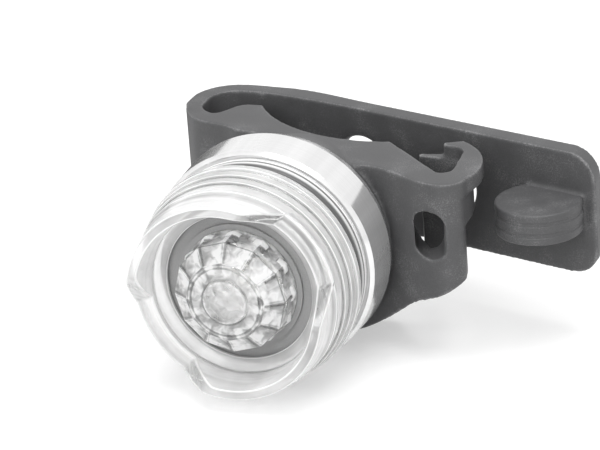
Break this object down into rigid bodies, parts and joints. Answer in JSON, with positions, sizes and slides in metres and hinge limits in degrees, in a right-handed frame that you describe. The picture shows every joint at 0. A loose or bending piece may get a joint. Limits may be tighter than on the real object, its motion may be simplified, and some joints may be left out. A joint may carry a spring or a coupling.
{
  "type": "bicycle headlight",
  "caption": "Small strap-on bicycle headlight: clear ribbed cap over a faceted press lens, polished ring body, and a silicone mount with bar saddle, claw and strap.",
  "frame": {"origin": "on the light's axis, at the front rim of the polished metal ring", "axes": "-Y is the way the light shines, +Z is along the bar it straps to, up as the light lies on its side in the picture, and +X is the side that the strap runs to"},
  "size_m": [0.0641, 0.0523, 0.0326],
  "materials": {
    "polished_aluminium": "turned and polished bright, with fine turning streaks",
    "clear_polycarbonate": "clear moulded polycarbonate, glossy, slightly frosted on the neck",
    "clear_acrylic": "clear moulded acrylic with sharp polished facets",
    "black_silicone": "satin black moulded silicone with fine dust",
    "seal_rubber": "matt grey rubber",
    "dark_abs": "matt moulded ABS with a fine grain",
    "board_laminate": "white solder mask over glass laminate",
    "white_nylon": "natural moulded nylon",
    "led_resin": "yellow phosphor under clear resin",
    "switch_housing": "black moulded housing",
    "chip_epoxy": "black moulding compound",
    "spring_steel": "plated spring steel",
    "cell_steel": "brushed stainless steel can"
  },
  "bodies": {
    "light_body": {"body_shell": "polished_aluminium", "cradle": "black_silicone", "cell_tray": "white_nylon", "base_contact": "spring_steel", "coin_cell_front": "cell_steel", "coin_cell_rear": "cell_steel"},
    "seal": {"cap_seal": "seal_rubber"},
    "cap": {"lens_cap": "clear_polycarbonate", "window_seal": "seal_rubber", "led_board": "board_laminate", "board_retainer": "white_nylon", "led": "led_resin", "tact_switch": "switch_housing", "controller_chip": "chip_epoxy", "board_resistors": "chip_epoxy", "contact_spring": "spring_steel"},
    "button": {"gem_lens": "clear_acrylic", "button_carrier": "dark_abs", "switch_plunger": "dark_abs"},
    "strap": {"strap_band": "black_silicone"}
  },
  "joints": [
    {"name": "cap_travel", "type": "slide", "parent": "light_body", "child": "seal", "axis": [0, -1, 0], "range_m": [0, 0.00225]},
    {"name": "cap_twist", "type": "hinge", "parent": "seal", "child": "cap", "pos_m": [0, 0, 0], "axis": [0, -1, 0], "range_deg": [0, 541]},
    {"name": "lens_press", "type": "slide", "parent": "cap", "child": "button", "axis": [0, 1, 0], "range_m": [0, 0.0007], "stiffness_N_per_m": 2500},
    {"name": "strap_swing", "type": "hinge", "parent": "light_body", "child": "strap", "pos_m": [-0.02075, 0.0302, 0.002], "axis": [0, 0, 1], "range_deg": [-3, 100], "stiffness_Nm_per_rad": 0.02}
  ],
  "couplings": [
    {"joint": "cap_twist", "follows": "cap_travel", "rad_per_m": 4188.8}
  ]
}
